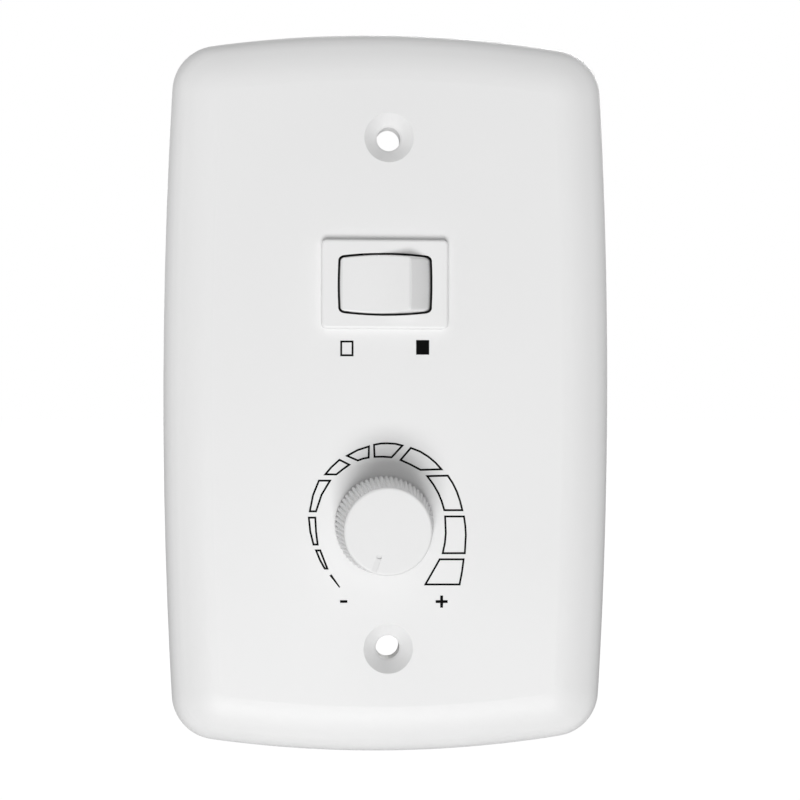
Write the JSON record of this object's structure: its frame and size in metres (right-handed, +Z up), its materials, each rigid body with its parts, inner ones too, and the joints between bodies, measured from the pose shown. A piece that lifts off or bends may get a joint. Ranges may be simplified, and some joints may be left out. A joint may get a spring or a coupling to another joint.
{
  "type": "fan speed control switch",
  "caption": "White wall plate with a snap-in rocker switch above a knurled rotary fan speed control, on an open-backed triac regulator board.",
  "frame": {"origin": "on the wall plane, midway between the two box screws", "axes": "+X to the right as seen from the room, +Y into the wall, +Z up along the plate's height"},
  "size_m": [0.074, 0.0454, 0.119],
  "materials": {
    "plate_white": "satin moulded white thermoplastic",
    "switch_white": "moulded white nylon",
    "rocker_white": "smooth moulded white plastic",
    "knob_white": "moulded white plastic, knurled side",
    "spring_steel": "drawn spring wire",
    "plunger_plastic": "natural acetal",
    "contact_brass": "stamped strip",
    "contact_silver": "silver alloy rivets",
    "tab_brass": "stamped sheet",
    "nickel_plate": "nickel plated",
    "die_cast": "die-cast alloy",
    "shaft_aluminium": "turned",
    "rotor_plastic": "moulded black plastic",
    "wafer_laminate": "paper phenolic sheet",
    "tinned_pins": "tinned brass",
    "case_steel": "pressed zinc-plated steel",
    "board_laminate": "paper phenolic circuit board",
    "zinc_screws": "zinc-plated steel",
    "terminal_green": "moulded green polyamide",
    "triac_black": "black epoxy moulding",
    "sink_aluminium": "folded mill-finish sheet",
    "capacitor_yellow": "moulded box case",
    "capacitor_red": "moulded box case",
    "resistor_tan": "lacquered film resistor",
    "diac_blue": "lacquered glass diode"
  },
  "bodies": {
    "wall_plate": {"face_plate": "plate_white", "switch_housing": "switch_white", "fixed_contact_tips": "contact_silver", "common_tab": "tab_brass", "left_tab": "tab_brass", "right_tab": "tab_brass", "pot_nut": "nickel_plate", "pot_washer": "nickel_plate", "pot_bushing": "die_cast", "pot_wafer": "wafer_laminate", "pot_pins": "tinned_pins", "pot_case": "case_steel", "circuit_board": "board_laminate", "board_screws": "zinc_screws", "terminal_block": "terminal_green", "terminal_clamps": "nickel_plate", "terminal_screws": "zinc_screws", "triac": "triac_black", "heat_sink": "sink_aluminium", "heat_sink_screw": "zinc_screws", "heat_sink_nut": "zinc_screws", "snubber_capacitor": "capacitor_yellow", "timing_capacitor": "capacitor_red", "resistors": "resistor_tan", "diac": "diac_blue"},
    "rocker": {"rocker": "rocker_white", "rocker_spring": "spring_steel"},
    "plunger": {"spring_plunger": "plunger_plastic"},
    "contact_bar": {"seesaw_contact": "contact_brass", "moving_contact_tips": "contact_silver"},
    "speed_knob": {"knob": "knob_white", "pot_shaft": "shaft_aluminium", "shaft_clip": "spring_steel", "pot_rotor": "rotor_plastic", "pot_wiper": "contact_brass"}
  },
  "joints": [
    {"name": "rocker_tilt", "type": "hinge", "parent": "wall_plate", "child": "rocker", "pos_m": [-0.0007, -0.0058, 0.0177], "axis": [0, 0, 1], "range_deg": [0, 28]},
    {"name": "contact_tilt", "type": "hinge", "parent": "wall_plate", "child": "contact_bar", "pos_m": [-0.0007, 0.0006, 0.0177], "axis": [0, 0, 1], "range_deg": [-14, 0]},
    {"name": "plunger_slide", "type": "slide", "parent": "rocker", "child": "plunger", "axis": [-0.2419, -0.9703, 0], "range_m": [0, 0.0005], "stiffness_N_per_m": 300, "springref_m": -0.002, "deforming": ["rocker_spring"]},
    {"name": "knob_turn", "type": "hinge", "parent": "wall_plate", "child": "speed_knob", "pos_m": [-0.0007, 0, -0.0215], "axis": [0, 1, 0], "range_deg": [0, 300]}
  ],
  "couplings": [
    {"joint": "contact_tilt", "follows": "rocker_tilt", "ratio": -0.5}
  ]
}
